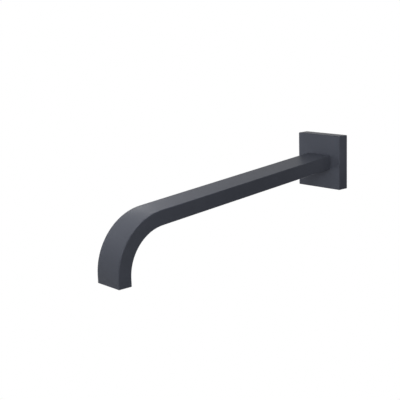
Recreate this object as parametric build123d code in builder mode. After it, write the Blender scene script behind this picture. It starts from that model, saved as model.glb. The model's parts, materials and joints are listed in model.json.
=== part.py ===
"""Wall spout: a flat rectangular tube falls slightly from a square wall flange and turns down at its end.

The origin is on the inlet axis in the plane of the wall. The spout comes out of the wall along -Y,
+Z is up and +X is to the right of someone who faces the wall.
A depth is a distance in front of the wall, along -Y. A rise is a height above the outlet's lower edge.
"""

import os
from math import cos, radians, sin, tan

from build123d import *

# Driving dimensions, in millimetres
# Wall flange
FLANGE_SIDE = 60.0
FLANGE_DEPTH = 13.0
FLANGE_WALL = 3.0
FLANGE_EDGE_RADIUS = 1.0
FLANGE_INNER_RADIUS = 2.0
FLANGE_OPENING_CLEARANCE = 0.15

# Spout tube
ARM_WIDTH = 34.0
ARM_HEIGHT = 15.0
ARM_EDGE_RADIUS = 0.8
TUBE_WALL = 1.5
ARM_FALL_ANGLE = 5.0
REACH = 300.0
BEND_RADIUS = 51.0
OUTLET_DROP = 8.0
OUTLET_RIM_CHAMFER = 0.3

# Inlet shank, with a G 1/2 parallel spigot
SPIGOT_DIAMETER = 20.955
SPIGOT_LENGTH = 16.0
SPIGOT_CHAMFER = 1.2
SPIGOT_BORE = 14.0
SPIGOT_BORE_CHAMFER = 0.8
RELIEF_DIAMETER = 18.4
COLLAR_DIAMETER = 38.0
COLLAR_FLATS = 32.0
COLLAR_THICKNESS = 6.0
COLLAR_CHAMFER = 0.8
TONGUE_LENGTH = 12.0
TONGUE_CLEARANCE = 0.1
TONGUE_WALL = 1.5
TONGUE_CORNER_RADIUS = 1.2
TONGUE_LEAD_CHAMFER = 0.6
BORE_FLOOR = 2.5
SLOT_OVERRUN = 0.8

# Seals at the wall
ARM_SEAL_THICKNESS = 1.5
ARM_SEAL_WIDTH = 3.0
WALL_SEAL_THICKNESS = 2.0
WALL_SEAL_WIDTH = 2.8
WALL_SEAL_REBATE = 1.5
SEAL_CLEARANCE = 0.05

# Set screw under the flange
SCREW_DIAMETER = 4.0
SCREW_CLEARANCE = 0.05
SCREW_RECESS = 1.5
SCREW_CHAMFER = 0.5
SCREW_SOCKET_FLATS = 2.0
SCREW_SOCKET_DEPTH = 2.5
SCREW_BOSS_DIAMETER = 7.0
SCREW_BOSS_HEIGHT = 4.0

# Outlet insert
INSERT_HEIGHT = 6.0
INSERT_RECESS = 0.8
INSERT_CLEARANCE = 0.2
INSERT_FRAME_WALL = 1.7
INSERT_CORNER_RADIUS = 0.5
INSERT_EDGE_CHAMFER = 0.3
CELL_FLATS = 1.8
CELL_WALL = 0.4
GROOVE_DEPTH = 0.9
GROOVE_HEIGHT = 1.6
GROOVE_RISE = 2.0
SCREEN_THICKNESS = 0.4
SCREEN_LEDGE = 0.7
SCREEN_HOLE = 1.2
SCREEN_PITCH = 1.8
SCREEN_CLEARANCE = 0.1

# Places worked out from the driving dimensions
flange_inside = FLANGE_SIDE - 2 * FLANGE_WALL
flange_front_inside = FLANGE_DEPTH - FLANGE_WALL
tube_end_depth = flange_front_inside - ARM_SEAL_THICKNESS
collar_back_depth = tube_end_depth - COLLAR_THICKNESS
waterway_width = ARM_WIDTH - 2 * TUBE_WALL
waterway_height = ARM_HEIGHT - 2 * TUBE_WALL
arm_fall = radians(ARM_FALL_ANGLE)
screw_depth = collar_back_depth + COLLAR_THICKNESS / 2
screw_head_z = SCREW_RECESS - FLANGE_SIDE / 2
screw_length = -COLLAR_FLATS / 2 - screw_head_z

# The arm's section plane in the front of the flange, square to the arm and facing along it
arm = Plane(origin=(0, -FLANGE_DEPTH, 0), x_dir=(1, 0, 0), z_dir=(0, -cos(arm_fall), -sin(arm_fall)))
tube_end_run = (FLANGE_DEPTH - tube_end_depth) / cos(arm_fall)
inner_run = tube_end_run + ARM_HEIGHT * tan(arm_fall)
outer_run = (REACH - FLANGE_DEPTH - BEND_RADIUS * (1 - sin(arm_fall))) / cos(arm_fall)

# The bend takes up the rest of the right angle, so that the outlet looks straight down
with BuildLine(Plane.YZ) as tube_route:
    run_start = (inner_run * cos(arm_fall) - FLANGE_DEPTH, inner_run * sin(arm_fall))
    run = PolarLine(run_start, inner_run + outer_run, 180 + ARM_FALL_ANGLE)
    bend = JernArc(run @ 1, run % 1, BEND_RADIUS, 90 - ARM_FALL_ANGLE)
    drop = PolarLine(bend @ 1, OUTLET_DROP, direction=bend % 1)
outlet = Plane(origin=drop @ 1, x_dir=(1, 0, 0), z_dir=-(drop % 1))

# Spout tube: one length of rectangular tube with its bend, cut upright where it meets the collar
with BuildPart() as spout_tube:
    with BuildSketch(arm.offset(-inner_run)) as tube_section:
        RectangleRounded(ARM_WIDTH, ARM_HEIGHT, ARM_EDGE_RADIUS)
        Rectangle(waterway_width, waterway_height, mode=Mode.SUBTRACT)
    sweep(path=tube_route.line)
    split(bisect_by=Plane.XZ.offset(tube_end_depth))
    outlet_face = spout_tube.faces().sort_by(Axis(outlet.origin, outlet.z_dir))[0]
    chamfer(outlet_face.outer_wire().edges(), OUTLET_RIM_CHAMFER)
spout_tube.part.label = "spout_tube"

# Inlet shank: tongue in the tube, collar inside the flange, spigot into the wall
tongue_width = waterway_width - 2 * TONGUE_CLEARANCE
tongue_height = waterway_height - 2 * TONGUE_CLEARANCE
bore_floor_depth = collar_back_depth + BORE_FLOOR
slot_run = (FLANGE_DEPTH - bore_floor_depth) / cos(arm_fall) + SLOT_OVERRUN
tongue_end_run = TONGUE_LENGTH - tube_end_run
with BuildPart() as inlet_shank:
    with BuildSketch(Plane.XY) as turned_profile:
        with BuildLine():
            Polyline(
                (0, -collar_back_depth),
                (RELIEF_DIAMETER / 2, -collar_back_depth),
                (RELIEF_DIAMETER / 2, 0),
                (SPIGOT_DIAMETER / 2, 0),
                (SPIGOT_DIAMETER / 2, SPIGOT_LENGTH - SPIGOT_CHAMFER),
                (SPIGOT_DIAMETER / 2 - SPIGOT_CHAMFER, SPIGOT_LENGTH),
                (0, SPIGOT_LENGTH),
                close=True,
            )
        make_face()
    revolve(axis=Axis.Y)
    with BuildSketch(Plane.XZ.offset(collar_back_depth)) as collar_section:
        Circle(COLLAR_DIAMETER / 2)
        Rectangle(COLLAR_DIAMETER, COLLAR_FLATS, mode=Mode.INTERSECT)
    extrude(amount=COLLAR_THICKNESS)
    collar_back = inlet_shank.faces().filter_by_position(Axis.Y, -collar_back_depth, -collar_back_depth)[0]
    chamfer(collar_back.outer_wire().edges(), COLLAR_CHAMFER)
    with BuildSketch(arm.offset(-inner_run)) as tongue_section:
        RectangleRounded(tongue_width, tongue_height, TONGUE_CORNER_RADIUS)
    extrude(amount=inner_run + tongue_end_run)
    tongue_end = inlet_shank.faces().sort_by(Axis.Y)[0]
    chamfer(tongue_end.outer_wire().edges(), TONGUE_LEAD_CHAMFER)
    with BuildSketch(arm.offset(-slot_run)) as slot_section:
        SlotOverall(tongue_width - 2 * TONGUE_WALL, tongue_height - 2 * TONGUE_WALL)
    extrude(amount=slot_run + tongue_end_run, mode=Mode.SUBTRACT)
    with BuildSketch(Plane.XZ.offset(bore_floor_depth)) as bore_section:
        Circle(SPIGOT_BORE / 2)
    extrude(amount=-(bore_floor_depth + SPIGOT_LENGTH), mode=Mode.SUBTRACT)
    spigot_end_circles = inlet_shank.edges().filter_by(GeomType.CIRCLE).group_by(Axis.Y)[-1]
    bore_mouth = spigot_end_circles.sort_by(SortBy.RADIUS)[0]
    chamfer(bore_mouth, SPIGOT_BORE_CHAMFER)
inlet_shank.part.label = "inlet_shank"

# Wall flange: a hollow square cover with a close opening for the tube
opening_width = ARM_WIDTH + 2 * FLANGE_OPENING_CLEARANCE
opening_height = ARM_HEIGHT + 2 * FLANGE_OPENING_CLEARANCE
rebate_side = flange_inside + 2 * WALL_SEAL_REBATE
screw_hole_radius = SCREW_DIAMETER / 2 + SCREW_CLEARANCE
with BuildPart() as wall_flange:
    with BuildSketch(Plane.XZ) as flange_outline:
        Rectangle(FLANGE_SIDE, FLANGE_SIDE)
    extrude(amount=FLANGE_DEPTH)
    flange_front = wall_flange.faces().sort_by(Axis.Y)[0]
    fillet(wall_flange.edges().filter_by(Axis.Y) + flange_front.edges(), FLANGE_EDGE_RADIUS)
    with BuildSketch(Plane.XZ) as hollow_outline:
        RectangleRounded(flange_inside, flange_inside, FLANGE_INNER_RADIUS)
    extrude(amount=flange_front_inside, mode=Mode.SUBTRACT)
    with BuildSketch(Plane.XZ) as rebate_outline:
        RectangleRounded(rebate_side, rebate_side, FLANGE_INNER_RADIUS)
    extrude(amount=WALL_SEAL_THICKNESS, mode=Mode.SUBTRACT)
    with BuildSketch(arm) as opening_outline:
        RectangleRounded(opening_width, opening_height, ARM_EDGE_RADIUS)
    extrude(amount=inner_run, both=True, mode=Mode.SUBTRACT)
    with BuildSketch(Plane.XY.offset(-FLANGE_SIDE / 2 + FLANGE_WALL / 2)) as boss_outline:
        with Locations((0, -screw_depth)):
            Circle(SCREW_BOSS_DIAMETER / 2)
    extrude(amount=FLANGE_WALL / 2 + SCREW_BOSS_HEIGHT)
    with BuildSketch(Plane.XY.offset(-FLANGE_SIDE / 2)) as screw_hole_outline:
        with Locations((0, -screw_depth)):
            Circle(screw_hole_radius)
    extrude(amount=FLANGE_WALL + SCREW_BOSS_HEIGHT, mode=Mode.SUBTRACT)
wall_flange.part.label = "wall_flange"

# Arm seal: flat rubber ring between the collar and the inside of the flange
seal_hole_width = ARM_WIDTH + 2 * SEAL_CLEARANCE
seal_hole_height = ARM_HEIGHT + 2 * SEAL_CLEARANCE
seal_centre_z = (FLANGE_DEPTH - tube_end_depth - ARM_SEAL_THICKNESS / 2) * tan(arm_fall)
with BuildPart() as arm_seal:
    with BuildSketch(Plane.XZ.offset(tube_end_depth)) as arm_seal_outline:
        with Locations((0, seal_centre_z)):
            RectangleRounded(
                seal_hole_width + 2 * ARM_SEAL_WIDTH, seal_hole_height + 2 * ARM_SEAL_WIDTH, ARM_SEAL_WIDTH
            )
    extrude(amount=ARM_SEAL_THICKNESS)
    with BuildSketch(arm) as seal_hole_outline:
        RectangleRounded(seal_hole_width, seal_hole_height, ARM_EDGE_RADIUS)
    extrude(amount=-inner_run, mode=Mode.SUBTRACT)
arm_seal.part.label = "arm_seal"

# Wall seal: square rubber frame in the rebate at the back of the flange
with BuildPart() as wall_seal:
    with BuildSketch(Plane.XZ) as wall_seal_outline:
        seal_side = rebate_side - 2 * SEAL_CLEARANCE
        seal_inside = seal_side - 2 * WALL_SEAL_WIDTH
        RectangleRounded(seal_side, seal_side, FLANGE_INNER_RADIUS)
        RectangleRounded(seal_inside, seal_inside, FLANGE_INNER_RADIUS, mode=Mode.SUBTRACT)
    extrude(amount=WALL_SEAL_THICKNESS)
wall_seal.part.label = "wall_seal"

# Set screw: a socket screw from under the flange that bears on the collar's lower flat
with BuildPart() as set_screw:
    with BuildSketch(Plane.XY.offset(screw_head_z)) as screw_outline:
        with Locations((0, -screw_depth)):
            Circle(SCREW_DIAMETER / 2)
    extrude(amount=screw_length)
    chamfer(set_screw.edges().filter_by(GeomType.CIRCLE), SCREW_CHAMFER)
    with BuildSketch(Plane.XY.offset(screw_head_z)) as socket_outline:
        with Locations((0, -screw_depth)):
            RegularPolygon(SCREW_SOCKET_FLATS / 2, 6, major_radius=False)
    extrude(amount=SCREW_SOCKET_DEPTH, mode=Mode.SUBTRACT)
set_screw.part.label = "set_screw"

# Flow straightener: moulded insert with honeycomb water channels, a seal groove and a seat for the screen
insert_width = waterway_width - 2 * INSERT_CLEARANCE
insert_depth = waterway_height - 2 * INSERT_CLEARANCE
field_width = insert_width - 2 * INSERT_FRAME_WALL
field_depth = insert_depth - 2 * INSERT_FRAME_WALL
seat_rise = INSERT_RECESS + INSERT_HEIGHT - SCREEN_THICKNESS
cell_pitch = CELL_FLATS + CELL_WALL
cell_row_pitch = cell_pitch * 3**0.5 / 2
cell_corners = CELL_FLATS * 2 / 3**0.5
cells_across = int((field_width - cell_corners) / cell_row_pitch) + 1
cells_deep = int((field_depth - CELL_FLATS - cell_pitch / 2) / cell_pitch) + 1
groove_bottom_rise = INSERT_RECESS + GROOVE_RISE
with BuildPart() as flow_straightener:
    with BuildSketch(outlet.offset(INSERT_RECESS)) as insert_outline:
        RectangleRounded(insert_width, insert_depth, INSERT_CORNER_RADIUS)
    extrude(amount=INSERT_HEIGHT)
    insert_foot = flow_straightener.faces().sort_by(Axis(outlet.origin, outlet.z_dir))[0]
    chamfer(insert_foot.edges(), INSERT_EDGE_CHAMFER)
    with BuildSketch(outlet.offset(groove_bottom_rise)) as groove_outline:
        RectangleRounded(insert_width, insert_depth, INSERT_CORNER_RADIUS)
        Rectangle(insert_width - 2 * GROOVE_DEPTH, insert_depth - 2 * GROOVE_DEPTH, mode=Mode.SUBTRACT)
    extrude(amount=GROOVE_HEIGHT, mode=Mode.SUBTRACT)
    with BuildSketch(outlet.offset(seat_rise)) as seat_outline:
        Rectangle(field_width + 2 * SCREEN_LEDGE, field_depth + 2 * SCREEN_LEDGE)
    extrude(amount=SCREEN_THICKNESS, mode=Mode.SUBTRACT)
    with BuildSketch(outlet.offset(INSERT_RECESS)) as cell_outlines:
        with HexLocations(cell_pitch / 2, cells_across, cells_deep):
            RegularPolygon(CELL_FLATS / 2, 6, major_radius=False)
    extrude(amount=INSERT_HEIGHT, mode=Mode.SUBTRACT)
flow_straightener.part.label = "flow_straightener"

# Insert seal: rubber ring in the groove round the straightener
with BuildPart() as insert_seal:
    with BuildSketch(outlet.offset(groove_bottom_rise + SEAL_CLEARANCE)) as insert_seal_outline:
        RectangleRounded(
            waterway_width - 2 * SEAL_CLEARANCE,
            waterway_height - 2 * SEAL_CLEARANCE,
            INSERT_CORNER_RADIUS,
        )
        Rectangle(
            insert_width - 2 * GROOVE_DEPTH + 2 * SEAL_CLEARANCE,
            insert_depth - 2 * GROOVE_DEPTH + 2 * SEAL_CLEARANCE,
            mode=Mode.SUBTRACT,
        )
    extrude(amount=GROOVE_HEIGHT - 2 * SEAL_CLEARANCE)
insert_seal.part.label = "insert_seal"

# Strainer screen: perforated sheet that lies on the seat above the honeycomb
screen_width = field_width + 2 * SCREEN_LEDGE - 2 * SCREEN_CLEARANCE
screen_depth = field_depth + 2 * SCREEN_LEDGE - 2 * SCREEN_CLEARANCE
holes_across = int((field_width - SCREEN_HOLE) / SCREEN_PITCH) + 1
holes_deep = int((field_depth - SCREEN_HOLE) / SCREEN_PITCH) + 1
with BuildPart() as strainer_screen:
    with BuildSketch(outlet.offset(seat_rise)) as screen_outline:
        Rectangle(screen_width, screen_depth)
        with GridLocations(SCREEN_PITCH, SCREEN_PITCH, holes_across, holes_deep):
            Rectangle(SCREEN_HOLE, SCREEN_HOLE, mode=Mode.SUBTRACT)
    extrude(amount=SCREEN_THICKNESS)
strainer_screen.part.label = "strainer_screen"

os.makedirs("parts", exist_ok=True)
for piece in (
    spout_tube,
    inlet_shank,
    wall_flange,
    arm_seal,
    wall_seal,
    set_screw,
    flow_straightener,
    insert_seal,
    strainer_screen,
):
    export_step(piece.part, f"parts/{piece.part.label}.step")
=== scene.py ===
"""Dress the wall spout: satin coating, threaded brass inlet, seals, outlet insert and a plain studio."""

import json
import math

import bmesh
import bpy
from bpy.props import FloatProperty, FloatVectorProperty, IntProperty, PointerProperty
from mathutils import Matrix, Vector


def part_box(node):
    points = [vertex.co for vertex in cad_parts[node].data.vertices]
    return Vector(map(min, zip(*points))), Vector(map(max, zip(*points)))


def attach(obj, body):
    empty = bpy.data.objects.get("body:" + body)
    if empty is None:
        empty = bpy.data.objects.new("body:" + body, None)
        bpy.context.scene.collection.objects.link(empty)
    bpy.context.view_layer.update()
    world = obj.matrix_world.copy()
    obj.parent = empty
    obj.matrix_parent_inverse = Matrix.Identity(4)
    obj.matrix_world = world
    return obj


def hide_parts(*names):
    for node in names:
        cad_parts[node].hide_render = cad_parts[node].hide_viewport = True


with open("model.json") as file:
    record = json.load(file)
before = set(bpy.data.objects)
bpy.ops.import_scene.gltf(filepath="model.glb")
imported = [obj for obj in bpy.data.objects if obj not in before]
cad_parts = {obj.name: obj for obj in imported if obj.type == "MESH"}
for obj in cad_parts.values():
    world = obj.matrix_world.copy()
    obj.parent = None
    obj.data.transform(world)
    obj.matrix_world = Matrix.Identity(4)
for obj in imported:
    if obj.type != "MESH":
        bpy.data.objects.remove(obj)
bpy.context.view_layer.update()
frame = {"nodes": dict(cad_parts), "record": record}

bl_info = {
    "name": "Wall Spout",
    "version": (1, 0, 0),
    "blender": (4, 5, 0),
    "location": "View3D > Sidebar > Wall Spout",
    "description": "Finishes the pieces of a wall spout and sets up a plain studio around it",
    "category": "Object",
}

MM = 0.001
BODY = "root"
WHITE = (1, 1, 1, 1)

# Side of the square image in pixels, and width of the camera's sensor in millimetres
IMAGE_PIXELS = 400
SENSOR_WIDTH = 36.0

# Points on the spout that the lamps face
NEAR_BEND = Vector((0, -0.25, -0.02))
NEAR_FLANGE = Vector((0, -0.02, 0))

# Place and side of each square lamp, and the point that it faces
LAMPS = {
    "left": ((-0.65, -0.2, 0.0), 0.7, NEAR_BEND),
    "bend": ((-0.02, -0.36, 0.2), 0.12, NEAR_BEND),
    "front": ((0.5, -1.1, 0.25), 0.6, NEAR_BEND),
    "right": ((0.4, -0.6, 0.2), 0.4, NEAR_BEND),
    "flange": ((0.08, -0.03, 0.03), 0.04, NEAR_FLANGE),
    "back": ((-0.5, 0.9, -0.45), 1.0, NEAR_BEND),
}

# Range that most values of a noise texture fall in
NOISE_LOW = 0.3
NOISE_HIGH = 0.7

# The CAD mesh of the shank is kept up to the first of these places on its axis, and the threaded spigot
# starts at the second. Both lie in the plain relief behind the collar, and a bridge of faces joins them.
CAD_END = -1.0 * MM
SPIGOT_START = -0.8 * MM

# Distance within which corners of a CAD mesh are one point, and turn above which an edge of a threaded
# piece stays sharp
WELD_DISTANCE = 0.001 * MM
CREASE_ANGLE = math.radians(32)


def record_colour(slot_name):
    """Base colour of a material slot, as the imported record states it."""
    for material in frame["record"]["materials"]:
        if material["slot"] == slot_name:
            return tuple(material["base_color"][:3])
    raise KeyError(f"the record has no material slot named {slot_name}")


def mount_radius(mount_name):
    """Radius of a round mount in metres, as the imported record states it."""
    for mount in frame["record"]["mounts"]:
        if mount["name"] == mount_name:
            return mount["dims"]["r_mm"] * MM
    raise KeyError(f"the record has no mount named {mount_name}")


# Settings that a user would change


class SpoutFinish(bpy.types.PropertyGroup):
    """Colours and surface of the spout's materials."""

    coat_colour: FloatVectorProperty(
        name="Coating",
        description="Colour of the satin coating on the tube and the flange",
        subtype="COLOR",
        min=0.0,
        max=1.0,
        default=record_colour("dark_coat"),
    )
    coat_roughness: FloatProperty(
        name="Coating roughness",
        description="How far the satin coating spreads its reflections",
        subtype="FACTOR",
        min=0.0,
        max=1.0,
        default=0.42,
    )
    brass_colour: FloatVectorProperty(
        name="Brass",
        description="Colour of the bare turned brass of the inlet shank",
        subtype="COLOR",
        min=0.0,
        max=1.0,
        default=record_colour("raw_brass"),
    )
    rubber_colour: FloatVectorProperty(
        name="Rubber",
        description="Colour of the seals",
        subtype="COLOR",
        min=0.0,
        max=1.0,
        default=record_colour("seal_rubber"),
    )
    steel_colour: FloatVectorProperty(
        name="Stainless",
        description="Colour of the strainer screen and the set screw",
        subtype="COLOR",
        min=0.0,
        max=1.0,
        default=record_colour("stainless"),
    )
    plastic_colour: FloatVectorProperty(
        name="Insert plastic",
        description="Colour of the moulded flow straightener",
        subtype="COLOR",
        min=0.0,
        max=1.0,
        default=record_colour("insert_plastic"),
    )


class InletThread(bpy.types.PropertyGroup):
    """The half-inch pipe thread on the inlet shank."""

    pitch: FloatProperty(
        name="Pitch",
        description="Distance from one thread crest to the next",
        unit="LENGTH",
        precision=4,
        default=1.814 * MM,
    )
    depth: FloatProperty(
        name="Depth",
        description="Height of the thread from root to crest",
        unit="LENGTH",
        precision=4,
        default=1.162 * MM,
    )
    end_chamfer: FloatProperty(
        name="End chamfer",
        description="Width of the chamfer at the free end of the spigot",
        unit="LENGTH",
        precision=4,
        default=1.2 * MM,
    )
    bore_radius: FloatProperty(
        name="Bore radius",
        description="Radius of the waterway through the spigot",
        unit="LENGTH",
        precision=4,
        default=7.0 * MM,
    )
    bore_chamfer: FloatProperty(
        name="Bore chamfer",
        description="Width of the chamfer at the mouth of the bore",
        unit="LENGTH",
        precision=4,
        default=0.8 * MM,
    )
    relief_radius: FloatProperty(
        name="Relief radius",
        description="Radius of the turned relief between the thread and the collar",
        unit="LENGTH",
        precision=4,
        default=9.2 * MM,
    )
    rows_per_turn: IntProperty(
        name="Rows per turn",
        description="Mesh rows along the axis for each turn of the thread",
        min=6,
        default=14,
    )
    columns: IntProperty(
        name="Columns",
        description="Mesh columns round the spigot",
        min=24,
        default=120,
    )


class ScrewThread(bpy.types.PropertyGroup):
    """The fine thread and the socket of the set screw."""

    pitch: FloatProperty(
        name="Pitch",
        description="Distance from one thread crest to the next",
        unit="LENGTH",
        precision=4,
        default=0.7 * MM,
    )
    depth: FloatProperty(
        name="Depth",
        description="Height of the thread from root to crest",
        unit="LENGTH",
        precision=4,
        default=0.43 * MM,
    )
    end_chamfer: FloatProperty(
        name="End chamfer",
        description="Width of the chamfer at both ends of the screw",
        unit="LENGTH",
        precision=4,
        default=0.5 * MM,
    )
    socket_flats: FloatProperty(
        name="Socket size",
        description="Width across the flats of the hexagon socket",
        unit="LENGTH",
        precision=4,
        default=2.0 * MM,
    )
    socket_depth: FloatProperty(
        name="Socket depth",
        description="Depth of the hexagon socket",
        unit="LENGTH",
        precision=4,
        default=2.5 * MM,
    )
    rows_per_turn: IntProperty(
        name="Rows per turn",
        description="Mesh rows along the axis for each turn of the thread",
        min=6,
        default=8,
    )
    columns: IntProperty(
        name="Columns",
        description="Mesh columns round the screw, a multiple of twelve so that the socket has its corners",
        min=24,
        step=12,
        default=48,
    )


class StudioSetup(bpy.types.PropertyGroup):
    """Camera, lamps and floor."""

    azimuth: FloatProperty(
        name="Azimuth",
        description="Direction of the camera round the spout, from straight in front",
        subtype="ANGLE",
        default=math.radians(49.16),
    )
    elevation: FloatProperty(
        name="Elevation",
        description="Height of the camera above the horizon",
        subtype="ANGLE",
        default=math.radians(11.68),
    )
    roll: FloatProperty(
        name="Roll",
        description="Turn of the camera about its line of sight",
        subtype="ANGLE",
        default=math.radians(-1.94),
    )
    distance: FloatProperty(
        name="Distance",
        description="Distance along the line of sight from the camera to the point it is set by",
        unit="LENGTH",
        default=0.90835,
    )
    focal_pixels: FloatProperty(
        name="Focal length",
        description="Focal length in pixels of the square image",
        default=885.68,
    )
    aim_depth: FloatProperty(
        name="Aim depth",
        description="How far in front of the wall the point lies that the camera is set by",
        unit="LENGTH",
        default=0.15,
    )
    aim_pixel: FloatVectorProperty(
        name="Aim pixel",
        description="Where that point falls in the image, from its upper left corner",
        size=2,
        default=(229.67, 178.16),
    )
    floor_drop: FloatProperty(
        name="Floor drop",
        description="Height of the inlet axis above the floor",
        unit="LENGTH",
        default=0.9,
    )
    floor_size: FloatProperty(
        name="Floor size",
        description="Side of the square floor",
        unit="LENGTH",
        default=16.0,
    )
    left_power: FloatProperty(
        name="Left lamp",
        description="Power of the broad lamp on the left, the main light",
        unit="POWER",
        default=5.5,
    )
    bend_power: FloatProperty(
        name="Bend lamp",
        description="Power of the small lamp close above the bend",
        unit="POWER",
        default=0.3,
    )
    front_power: FloatProperty(
        name="Front lamp",
        description="Power of the lamp well in front of the outlet",
        unit="POWER",
        default=2.2,
    )
    right_power: FloatProperty(
        name="Right lamp",
        description="Power of the weak fill on the right, near the outlet",
        unit="POWER",
        default=1.25,
    )
    flange_power: FloatProperty(
        name="Flange lamp",
        description="Power of the small and very weak lamp close to the right of the flange",
        unit="POWER",
        precision=4,
        default=0.0075,
    )
    back_power: FloatProperty(
        name="Back lamp",
        description="Power of the low lamp behind the wall plane, for the hidden sides",
        unit="POWER",
        default=6.0,
    )
    ambient: FloatProperty(
        name="Ambient light",
        description="Strength of the even light from all round",
        min=0.0,
        default=0.03,
    )


class WallSpoutSettings(bpy.types.PropertyGroup):
    """All settings of the wall spout."""

    finish: PointerProperty(
        name="Finish",
        description="Colours and surface of the materials",
        type=SpoutFinish,
    )
    thread: PointerProperty(
        name="Inlet thread",
        description="Pipe thread on the inlet shank",
        type=InletThread,
    )
    screw: PointerProperty(
        name="Set screw",
        description="Thread and socket of the set screw",
        type=ScrewThread,
    )
    studio: PointerProperty(
        name="Studio",
        description="Camera, lamps and floor",
        type=StudioSetup,
    )


# Materials


class Surface:
    """A new material and short ways to add nodes to it."""

    def __init__(self, name):
        self.material = bpy.data.materials.new(name)
        self.material.use_nodes = True
        self.nodes = self.material.node_tree.nodes
        self.links = self.material.node_tree.links
        self.shader = self.nodes["Principled BSDF"]
        self.place = self.nodes.new("ShaderNodeTexCoord").outputs["Object"]
        self.normal = None

    def set_sockets(self, **values):
        """Set sockets of the shader, named with underscores for spaces."""
        for name, value in values.items():
            self.shader.inputs[name.replace("_", " ")].default_value = value

    def link(self, output, socket_name):
        """Link an output to a socket of the shader."""
        self.links.new(output, self.shader.inputs[socket_name])

    def noise(self, size, detail=3.0, stretch=(1, 1, 1)):
        """Noise with spots of about a size in metres, and a stretch along each axis."""
        mapping = self.nodes.new("ShaderNodeMapping")
        mapping.inputs["Scale"].default_value = [1 / side for side in stretch]
        self.links.new(self.place, mapping.inputs["Vector"])
        noise = self.nodes.new("ShaderNodeTexNoise")
        noise.inputs["Scale"].default_value = 1 / size
        noise.inputs["Detail"].default_value = detail
        self.links.new(mapping.outputs["Vector"], noise.inputs["Vector"])
        return noise.outputs["Fac"]

    def spread(self, value, at_low, at_high):
        """Number that goes from at_low to at_high as a noise value rises."""
        node = self.nodes.new("ShaderNodeMapRange")
        node.inputs["From Min"].default_value = NOISE_LOW
        node.inputs["From Max"].default_value = NOISE_HIGH
        node.inputs["To Min"].default_value = at_low
        node.inputs["To Max"].default_value = at_high
        self.links.new(value, node.inputs["Value"])
        return node.outputs["Result"]

    def blend(self, value, at_low, at_high):
        """Colour that goes from at_low to at_high as a noise value rises."""
        node = self.nodes.new("ShaderNodeValToRGB")
        node.color_ramp.elements[0].position = NOISE_LOW
        node.color_ramp.elements[0].color = (*at_low, 1)
        node.color_ramp.elements[1].position = NOISE_HIGH
        node.color_ramp.elements[1].color = (*at_high, 1)
        self.links.new(value, node.inputs["Fac"])
        return node.outputs["Color"]

    def bump(self, height, strength, depth):
        """Add a bump, with its depth in metres, on top of the bumps before it."""
        node = self.nodes.new("ShaderNodeBump")
        node.inputs["Strength"].default_value = strength
        node.inputs["Distance"].default_value = depth
        self.links.new(height, node.inputs["Height"])
        if self.normal is not None:
            self.links.new(self.normal, node.inputs["Normal"])
        self.normal = node.outputs["Normal"]
        self.link(self.normal, "Normal")


def shade(colour, factor):
    """A colour times a factor."""
    return tuple(channel * factor for channel in colour)


def satin_coating(finish):
    """Dark satin coating: an even colour with a very fine grain."""
    surface = Surface("satin_coating")
    surface.set_sockets(Specular_IOR_Level=0.05)
    cloud = surface.noise(size=25 * MM, detail=2.0)
    grain = surface.noise(size=0.5 * MM, detail=2.0)
    colour = tuple(finish.coat_colour)
    surface.link(surface.blend(cloud, shade(colour, 0.96), shade(colour, 1.04)), "Base Color")
    ripple = 0.04
    roughness = surface.spread(grain, finish.coat_roughness - ripple, finish.coat_roughness + ripple)
    surface.link(roughness, "Roughness")
    surface.bump(grain, strength=0.12, depth=0.05 * MM)
    surface.bump(cloud, strength=0.05, depth=0.2 * MM)
    return surface.material


def turned_brass(finish):
    """Bare brass with the fine rings that turning leaves, slightly dulled in patches."""
    surface = Surface("turned_brass")
    surface.set_sockets(Metallic=1.0)
    tarnish = surface.noise(size=9 * MM, detail=4.0)
    colour = tuple(finish.brass_colour)
    surface.link(surface.blend(tarnish, shade(colour, 0.72), colour), "Base Color")
    surface.link(surface.spread(tarnish, at_low=0.42, at_high=0.26), "Roughness")
    rings = surface.noise(size=0.12 * MM, detail=1.0, stretch=(80, 1, 80))
    surface.bump(rings, strength=0.15, depth=0.03 * MM)
    return surface.material


def seal_rubber(finish):
    """Matt black rubber with a bloom of fine dust."""
    surface = Surface("seal_rubber")
    surface.set_sockets(Specular_IOR_Level=0.3)
    bloom = surface.noise(size=4 * MM, detail=5.0)
    grain = surface.noise(size=0.25 * MM)
    colour = tuple(finish.rubber_colour)
    surface.link(surface.blend(bloom, colour, shade(colour, 1.7)), "Base Color")
    surface.link(surface.spread(bloom, at_low=0.7, at_high=0.85), "Roughness")
    surface.bump(grain, strength=0.25, depth=0.05 * MM)
    return surface.material


def brushed_stainless(finish):
    """Stainless steel with fine straight brush marks."""
    surface = Surface("brushed_stainless")
    surface.set_sockets(Metallic=1.0)
    marks = surface.noise(size=0.1 * MM, detail=2.0, stretch=(60, 1, 1))
    colour = tuple(finish.steel_colour)
    surface.link(surface.blend(marks, shade(colour, 0.85), shade(colour, 1.05)), "Base Color")
    surface.link(surface.spread(marks, at_low=0.34, at_high=0.48), "Roughness")
    surface.bump(marks, strength=0.12, depth=0.02 * MM)
    return surface.material


def moulded_plastic(finish):
    """Grey moulded plastic with a faint spark-eroded texture."""
    surface = Surface("moulded_plastic")
    flow = surface.noise(size=6 * MM, detail=2.0)
    grain = surface.noise(size=0.2 * MM)
    colour = tuple(finish.plastic_colour)
    surface.link(surface.blend(flow, shade(colour, 0.93), shade(colour, 1.03)), "Base Color")
    surface.link(surface.spread(grain, at_low=0.45, at_high=0.6), "Roughness")
    surface.bump(grain, strength=0.2, depth=0.03 * MM)
    return surface.material


def dress(node_name, material):
    """Give a CAD node its material."""
    mesh = frame["nodes"][node_name].data
    mesh.materials.clear()
    mesh.materials.append(material)


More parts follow.
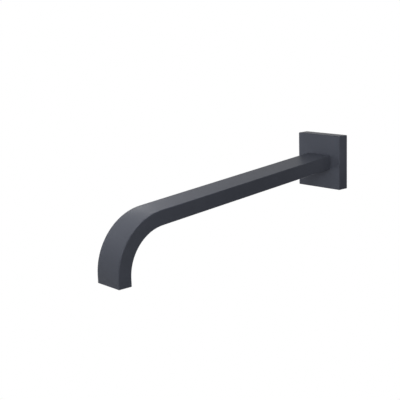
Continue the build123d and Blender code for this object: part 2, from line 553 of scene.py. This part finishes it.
def welded_copy(node_name, name):
    """Copy of a CAD mesh and its normals, with split corners joined and triangles of no area left out."""
    cad = frame["nodes"][node_name].data
    numbers = {}
    places, faces, normals = [], [], []
    for polygon in cad.polygons:
        face = []
        for vertex in polygon.vertices:
            place = cad.vertices[vertex].co
            key = tuple(round(side / WELD_DISTANCE) for side in place)
            if key not in numbers:
                numbers[key] = len(places)
                places.append(place)
            face.append(numbers[key])
        if len(set(face)) == len(face):
            faces.append(face)
            normals += [tuple(cad.corner_normals[i].vector) for i in polygon.loop_indices]
    data = bpy.data.meshes.new(name)
    data.from_pydata(places, [], faces)
    data.shade_smooth()
    data.normals_split_custom_set(normals)
    return data


# Threaded pieces, built from rings round the Y axis. A ring is its place along the axis and a function that
# gives its radius at each share of a turn.


def plain(radius):
    """Radius function of a round ring."""
    return lambda turn: radius


def hexagon(flats):
    """Radius function of a hexagonal ring with the middle of a flat at the start of the turn."""

    def radius(turn):
        turn_from_flat = ((6.0 * turn + 0.5) % 1.0 - 0.5) / 6.0
        return flats / 2.0 / math.cos(2.0 * math.pi * turn_from_flat)

    return radius


def thread_height(along, turn):
    """Share of the thread's depth at a place along the axis, in pitches, and round it, in turns."""
    phase = (along - turn) % 1.0
    ridge = abs(2.0 * phase - 1.0)
    flat = 1.0 / 6.0
    return min(max((ridge - flat) / (1.0 - 2.0 * flat), 0.0), 1.0)


def threaded(thread, crest, along, limit):
    """Radius function of a ring through the thread, cut off at a limit."""
    root = crest - thread.depth
    return lambda turn: min(root + thread.depth * thread_height(along / thread.pitch, turn), limit)


def thread_rows(thread, crest, length, chamfers):
    """Rings of a thread from 0 to its length, with the width of the chamfer at its start and its end."""
    rows = []
    count = math.ceil(length / thread.pitch * thread.rows_per_turn)
    for i in range(count + 1):
        along = length * i / count
        cut = max(0.0, chamfers[0] - along, along - (length - chamfers[1]))
        rows.append((along, threaded(thread, crest, along, crest - cut)))
    return rows


def add_rings(mesh, rows, columns):
    """Build the skin through the rings, and return the vertices of the first and the last of them."""
    rings = []
    for along, radius in rows:
        ring = []
        for i in range(columns):
            turn = i / columns
            angle = 2.0 * math.pi * turn
            place = (radius(turn) * math.sin(angle), along, radius(turn) * math.cos(angle))
            ring.append(mesh.verts.new(place))
        rings.append(ring)
    for lower, upper in zip(rings, rings[1:]):
        for i in range(columns):
            j = (i + 1) % columns
            mesh.faces.new((lower[i], upper[i], upper[j], lower[j]))
    return rings[0], rings[-1]


def ring_edges(mesh, ring):
    """Edges from each vertex of a ring to the next."""
    return [mesh.edges.get((ring[i - 1], ring[i])) for i in range(len(ring))]


def open_rims(mesh, split_radius):
    """Open edges of a mesh, those outside a radius round the Y axis and those inside it."""
    outer, inner = [], []
    for edge in mesh.edges:
        if edge.is_boundary:
            corner = edge.verts[0].co
            rim = outer if math.hypot(corner.x, corner.z) > split_radius else inner
            rim.append(edge)
    return outer, inner


def finished_mesh(mesh, name):
    """Turn an edit mesh into mesh data with smooth faces and sharp creases."""
    bmesh.ops.recalc_face_normals(mesh, faces=mesh.faces)
    data = bpy.data.meshes.new(name)
    mesh.to_mesh(data)
    mesh.free()
    data.shade_smooth()
    data.set_sharp_from_angle(angle=CREASE_ANGLE)
    return data


def threaded_shank(thread):
    """Mesh of the shank: its collar and tongue as they are in CAD, and a spigot with a real thread."""
    crest = mount_radius("inlet_thread")
    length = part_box("inlet_shank")[1].y
    mesh = bmesh.new()
    mesh.from_mesh(frame["nodes"]["inlet_shank"].data)
    bmesh.ops.remove_doubles(mesh, verts=mesh.verts, dist=WELD_DISTANCE)
    geometry = [*mesh.verts, *mesh.edges, *mesh.faces]
    bmesh.ops.bisect_plane(
        mesh, geom=geometry, plane_co=(0, CAD_END, 0), plane_no=(0, 1, 0), clear_outer=True
    )
    outer_rim, inner_rim = open_rims(mesh, (thread.relief_radius + thread.bore_radius) / 2)
    rows = [
        (SPIGOT_START, plain(thread.relief_radius)),
        (0.0, plain(thread.relief_radius)),
        *thread_rows(thread, crest, length, (0.0, thread.end_chamfer)),
        (length, plain(thread.bore_radius + thread.bore_chamfer)),
        (length - thread.bore_chamfer, plain(thread.bore_radius)),
        (SPIGOT_START, plain(thread.bore_radius)),
    ]
    outer_ring, inner_ring = add_rings(mesh, rows, thread.columns)
    bmesh.ops.bridge_loops(mesh, edges=outer_rim + ring_edges(mesh, outer_ring))
    bmesh.ops.bridge_loops(mesh, edges=inner_rim + ring_edges(mesh, inner_ring))
    return finished_mesh(mesh, "inlet_shank_threaded")


def threaded_screw(screw):
    """Mesh of the set screw, with its thread and with the hexagon socket at its lower end."""
    low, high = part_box("set_screw")
    crest = (high.x - low.x) / 2
    length = high.z - low.z
    rows = [
        (screw.socket_depth, hexagon(screw.socket_flats)),
        (0.0, hexagon(screw.socket_flats)),
        *thread_rows(screw, crest, length, (screw.end_chamfer, screw.end_chamfer)),
    ]
    mesh = bmesh.new()
    socket_floor, point = add_rings(mesh, rows, screw.columns)
    mesh.faces.new(socket_floor)
    mesh.faces.new(point)
    data = finished_mesh(mesh, "set_screw_threaded")
    foot = Vector(((low.x + high.x) / 2, (low.y + high.y) / 2, low.z))
    data.transform(Matrix.Translation(foot) @ Matrix.Rotation(math.radians(90), 4, "X"))
    return data


def add_piece(scene, data, node_name, material):
    """Put a new mesh on the body in place of a CAD node."""
    data.materials.append(material)
    piece = bpy.data.objects.new(data.name, data)
    scene.collection.objects.link(piece)
    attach(piece, BODY)
    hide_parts(node_name)


# Stage


def add_camera(scene, studio):
    """Camera at the photograph's angle."""
    azimuth, elevation, roll = studio.azimuth, studio.elevation, studio.roll
    back = Vector(
        (
            math.sin(azimuth) * math.cos(elevation),
            -math.cos(azimuth) * math.cos(elevation),
            math.sin(elevation),
        )
    )
    level = Vector((math.cos(azimuth), math.sin(azimuth), 0))
    upright = back.cross(level)
    right = math.cos(roll) * level + math.sin(roll) * upright
    up = math.cos(roll) * upright - math.sin(roll) * level
    metres_per_pixel = studio.distance / studio.focal_pixels
    across = (studio.aim_pixel[0] - IMAGE_PIXELS / 2) * metres_per_pixel
    down = (studio.aim_pixel[1] - IMAGE_PIXELS / 2) * metres_per_pixel
    aim = Vector((0, -studio.aim_depth, 0))
    place = aim + studio.distance * back - across * right + down * up
    facing = Matrix((right, up, back)).transposed().to_4x4()
    data = bpy.data.cameras.new("photo_camera")
    data.sensor_width = SENSOR_WIDTH
    data.lens = studio.focal_pixels / IMAGE_PIXELS * SENSOR_WIDTH
    camera = bpy.data.objects.new("photo_camera", data)
    camera.matrix_world = Matrix.Translation(place) @ facing
    scene.collection.objects.link(camera)
    scene.camera = camera


def add_lamp(scene, name, place, size, aim, power):
    """Square white lamp that faces a point on the spout and stays out of the picture."""
    data = bpy.data.lights.new(name, "AREA")
    data.shape = "SQUARE"
    data.size = size
    data.energy = power
    lamp = bpy.data.objects.new(name, data)
    lamp.location = place
    lamp.rotation_euler = (aim - Vector(place)).to_track_quat("-Z", "Y").to_euler()
    lamp.visible_camera = False
    scene.collection.objects.link(lamp)


def part_rays(tree, seen, lit, output_name):
    """Use one shader for rays that see the background and another for rays that carry light."""
    path = tree.nodes.new("ShaderNodeLightPath")
    share = path.outputs["Is Camera Ray"]
    for name in ("Is Glossy Ray", "Is Transmission Ray"):
        larger = tree.nodes.new("ShaderNodeMath")
        larger.operation = "MAXIMUM"
        tree.links.new(share, larger.inputs[0])
        tree.links.new(path.outputs[name], larger.inputs[1])
        share = larger.outputs["Value"]
    mix = tree.nodes.new("ShaderNodeMixShader")
    tree.links.new(share, mix.inputs["Fac"])
    tree.links.new(lit, mix.inputs[1])
    tree.links.new(seen, mix.inputs[2])
    tree.links.new(mix.outputs["Shader"], tree.nodes[output_name].inputs["Surface"])


def white_surroundings(scene, ambient):
    """World that is white where it is seen and gives an even weak light."""
    world = bpy.data.worlds.new("white_studio")
    world.use_nodes = True
    tree = world.node_tree
    seen = tree.nodes["Background"]
    seen.inputs["Color"].default_value = WHITE
    seen.inputs["Strength"].default_value = 1.0
    lit = tree.nodes.new("ShaderNodeBackground")
    lit.inputs["Color"].default_value = WHITE
    lit.inputs["Strength"].default_value = ambient
    part_rays(tree, seen.outputs["Background"], lit.outputs["Background"], "World Output")
    scene.world = world


def add_floor(scene, studio):
    """Plain pale floor well below the spout, white where it is seen."""
    half = studio.floor_size / 2
    data = bpy.data.meshes.new("floor")
    corners = [(-half, -half, 0), (half, -half, 0), (half, half, 0), (-half, half, 0)]
    data.from_pydata(corners, [], [(0, 1, 2, 3)])
    floor = bpy.data.objects.new("floor", data)
    floor.location = (0, 0, -studio.floor_drop)
    scene.collection.objects.link(floor)
    surface = Surface("pale_floor")
    surface.set_sockets(Base_Color=(0.8, 0.8, 0.8, 1), Roughness=0.8)
    white = surface.nodes.new("ShaderNodeEmission")
    tree = surface.material.node_tree
    part_rays(tree, white.outputs["Emission"], surface.shader.outputs["BSDF"], "Material Output")
    data.materials.append(surface.material)


# Operators, in the order in which they run


class WALL_SPOUT_OT_coat_tube_and_flange(bpy.types.Operator):
    """Give the spout tube and the wall flange their satin coating"""

    bl_idname = "wall_spout.coat_tube_and_flange"
    bl_label = "Coat Tube and Flange"

    def execute(self, context):
        coating = satin_coating(context.scene.wall_spout.finish)
        dress("spout_tube", coating)
        # The CAD mesh of the flange has triangles of no area at its round corners, so a closed copy is coated
        flange = welded_copy("wall_flange", "wall_flange_coated")
        add_piece(context.scene, flange, "wall_flange", coating)
        return {"FINISHED"}


class WALL_SPOUT_OT_thread_inlet_shank(bpy.types.Operator):
    """Build the brass inlet shank with its pipe thread"""

    bl_idname = "wall_spout.thread_inlet_shank"
    bl_label = "Thread Inlet Shank"

    def execute(self, context):
        settings = context.scene.wall_spout
        brass = turned_brass(settings.finish)
        add_piece(context.scene, threaded_shank(settings.thread), "inlet_shank", brass)
        return {"FINISHED"}


class WALL_SPOUT_OT_finish_seals(bpy.types.Operator):
    """Give the rubber seals their finish"""

    bl_idname = "wall_spout.finish_seals"
    bl_label = "Finish Seals"

    def execute(self, context):
        rubber = seal_rubber(context.scene.wall_spout.finish)
        for node_name in ("arm_seal", "wall_seal", "insert_seal"):
            dress(node_name, rubber)
        return {"FINISHED"}


class WALL_SPOUT_OT_finish_outlet_insert(bpy.types.Operator):
    """Give the flow straightener and its strainer screen their finish"""

    bl_idname = "wall_spout.finish_outlet_insert"
    bl_label = "Finish Outlet Insert"

    def execute(self, context):
        finish = context.scene.wall_spout.finish
        dress("flow_straightener", moulded_plastic(finish))
        dress("strainer_screen", brushed_stainless(finish))
        return {"FINISHED"}


class WALL_SPOUT_OT_thread_set_screw(bpy.types.Operator):
    """Build the set screw with its thread and socket"""

    bl_idname = "wall_spout.thread_set_screw"
    bl_label = "Thread Set Screw"

    def execute(self, context):
        settings = context.scene.wall_spout
        steel = brushed_stainless(settings.finish)
        add_piece(context.scene, threaded_screw(settings.screw), "set_screw", steel)
        return {"FINISHED"}


class WALL_SPOUT_OT_build_stage(bpy.types.Operator):
    """Set up the camera, the floor, the surroundings and the lamps"""

    bl_idname = "wall_spout.build_stage"
    bl_label = "Build Stage"

    def execute(self, context):
        scene = context.scene
        studio = scene.wall_spout.studio
        scene.view_settings.view_transform = "Standard"
        add_camera(scene, studio)
        add_floor(scene, studio)
        white_surroundings(scene, studio.ambient)
        for name, (place, size, aim) in LAMPS.items():
            add_lamp(scene, f"{name}_lamp", place, size, aim, getattr(studio, f"{name}_power"))
        return {"FINISHED"}


OPERATORS = (
    WALL_SPOUT_OT_coat_tube_and_flange,
    WALL_SPOUT_OT_thread_inlet_shank,
    WALL_SPOUT_OT_finish_seals,
    WALL_SPOUT_OT_finish_outlet_insert,
    WALL_SPOUT_OT_thread_set_screw,
    WALL_SPOUT_OT_build_stage,
)


class WALL_SPOUT_PT_panel(bpy.types.Panel):
    """Sidebar panel that lists the spout's settings and steps"""

    bl_idname = "WALL_SPOUT_PT_panel"
    bl_label = "Wall Spout"
    bl_space_type = "VIEW_3D"
    bl_region_type = "UI"
    bl_category = "Wall Spout"

    def draw(self, context):
        settings = context.scene.wall_spout
        for group_name in WallSpoutSettings.__annotations__:
            group = getattr(settings, group_name)
            box = self.layout.box()
            box.label(text=settings.bl_rna.properties[group_name].name)
            for setting_name in group.__annotations__:
                box.prop(group, setting_name)
        for operator in OPERATORS:
            self.layout.operator(operator.bl_idname)


CLASSES = (
    SpoutFinish,
    InletThread,
    ScrewThread,
    StudioSetup,
    WallSpoutSettings,
    *OPERATORS,
    WALL_SPOUT_PT_panel,
)


def register():
    for cls in CLASSES:
        bpy.utils.register_class(cls)
    bpy.types.Scene.wall_spout = PointerProperty(type=WallSpoutSettings)


def unregister():
    del bpy.types.Scene.wall_spout
    for cls in reversed(CLASSES):
        bpy.utils.unregister_class(cls)


def main():
    """Register the add-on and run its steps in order."""
    register()
    bpy.ops.wall_spout.coat_tube_and_flange()
    bpy.ops.wall_spout.thread_inlet_shank()
    bpy.ops.wall_spout.finish_seals()
    bpy.ops.wall_spout.finish_outlet_insert()
    bpy.ops.wall_spout.thread_set_screw()
    bpy.ops.wall_spout.build_stage()


if __name__ == "__main__":
    main()
